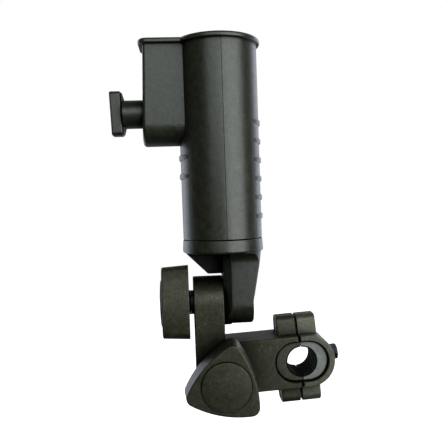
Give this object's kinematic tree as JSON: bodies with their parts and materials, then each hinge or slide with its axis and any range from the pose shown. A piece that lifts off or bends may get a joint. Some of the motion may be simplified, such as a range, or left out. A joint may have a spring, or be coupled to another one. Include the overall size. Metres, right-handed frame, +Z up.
{
  "type": "rail-mounted rod holder",
  "caption": "Black plastic tube holder with a thumb-screw pocket on a tilting and swinging double knuckle, carried by a split clamp that grips a round rail.",
  "frame": {"origin": "centre of the rail bore, half way through the clamp arm", "axes": "+Z up along the holder tube at rest, +Y along the rail, the clamp arm reaches to -X"},
  "size_m": [0.1256, 0.0572, 0.2073],
  "materials": {
    "housing": "satin black moulded plastic with a fine grain",
    "fitting": "satin black glass-filled plastic",
    "sleeve": "dark grey-black plastic, slightly lighter than the clamp",
    "rubber": "black rubber",
    "zinc": "bright zinc plate",
    "black_steel": "black oxide",
    "brass": "plain"
  },
  "bodies": {
    "clamp": {"clamp_arm": "fitting", "fixed_sleeve": "sleeve", "swing_bolt": "zinc", "upper_clamp_nut": "zinc", "lower_clamp_nut": "zinc"},
    "jaw": {"clamp_jaw": "fitting", "moving_sleeve": "sleeve", "sleeve_screw": "black_steel", "upper_clamp_washer": "zinc", "lower_clamp_washer": "zinc"},
    "upper_bolt": {"upper_clamp_bolt": "black_steel"},
    "lower_bolt": {"lower_clamp_bolt": "black_steel"},
    "knuckle_body": {"knuckle": "fitting"},
    "swing_washer_body": {"swing_washer": "black_steel"},
    "swing_knob_body": {"swing_knob": "fitting", "swing_knob_cap": "fitting", "swing_knob_nut": "brass"},
    "holder": {"holder_tube": "housing", "tube_base": "housing", "tilt_bolt": "zinc"},
    "tilt_washer_body": {"tilt_washer": "black_steel"},
    "tilt_knob_body": {"tilt_knob": "fitting", "tilt_knob_cap": "fitting", "tilt_knob_nut": "brass"},
    "shoe": {"pressure_shoe": "fitting", "shoe_pad": "rubber"},
    "thumb_screw_body": {"thumb_screw": "fitting"}
  },
  "joints": [
    {"name": "swing", "type": "hinge", "parent": "clamp", "child": "knuckle_body", "pos_m": [-0.04555, -0.0115, -0.00223], "axis": [0, 1, 0], "range_deg": [-160, 20]},
    {"name": "tilt", "type": "hinge", "parent": "knuckle_body", "child": "holder", "pos_m": [-0.04305, -0.0115, 0.03707], "axis": [1, 0, 0], "range_deg": [-75, 75]},
    {"name": "tilt_knob_turn", "type": "hinge", "parent": "tilt_washer_body", "child": "tilt_knob_body", "pos_m": [-0.06805, -0.0115, 0.03707], "axis": [-1, 0, 0], "range_deg": [0, 720]},
    {"name": "tilt_washer_slide", "type": "slide", "parent": "holder", "child": "tilt_washer_body", "axis": [-1, 0, 0], "range_m": [0, 0.0025]},
    {"name": "swing_knob_turn", "type": "hinge", "parent": "swing_washer_body", "child": "swing_knob_body", "pos_m": [-0.04555, -0.0335, -0.00223], "axis": [0, -1, 0], "range_deg": [0, 720]},
    {"name": "swing_washer_slide", "type": "slide", "parent": "clamp", "child": "swing_washer_body", "axis": [0, -1, 0], "range_m": [0, 0.0025]},
    {"name": "thumb_screw_turn", "type": "hinge", "parent": "shoe", "child": "thumb_screw_body", "pos_m": [-0.08805, -0.0115, 0.14257], "axis": [1, 0, 0], "range_deg": [0, 1080]},
    {"name": "shoe_slide", "type": "slide", "parent": "holder", "child": "shoe", "axis": [1, 0, 0], "range_m": [0, 0.009]},
    {"name": "upper_bolt_turn", "type": "hinge", "parent": "jaw", "child": "upper_bolt", "pos_m": [-0.00094, 0.0015, 0.01928], "axis": [0.9988, 0, 0.0489], "range_deg": [-225, 1350]},
    {"name": "lower_bolt_turn", "type": "hinge", "parent": "jaw", "child": "lower_bolt", "pos_m": [0.00094, 0.0015, -0.01928], "axis": [0.9988, 0, 0.0489], "range_deg": [-225, 1350]},
    {"name": "jaw_slide", "type": "slide", "parent": "clamp", "child": "jaw", "axis": [0.9988, 0, 0.0489], "range_m": [-0.0005, 0.003]}
  ],
  "couplings": [
    {"joint": "tilt_knob_turn", "follows": "tilt_washer_slide", "rad_per_m": 5026.5},
    {"joint": "swing_knob_turn", "follows": "swing_washer_slide", "rad_per_m": 5026.5},
    {"joint": "thumb_screw_turn", "follows": "shoe_slide", "rad_per_m": 2094.4},
    {"joint": "upper_bolt_turn", "follows": "jaw_slide", "rad_per_m": 7854},
    {"joint": "lower_bolt_turn", "follows": "jaw_slide", "rad_per_m": 7854}
  ]
}
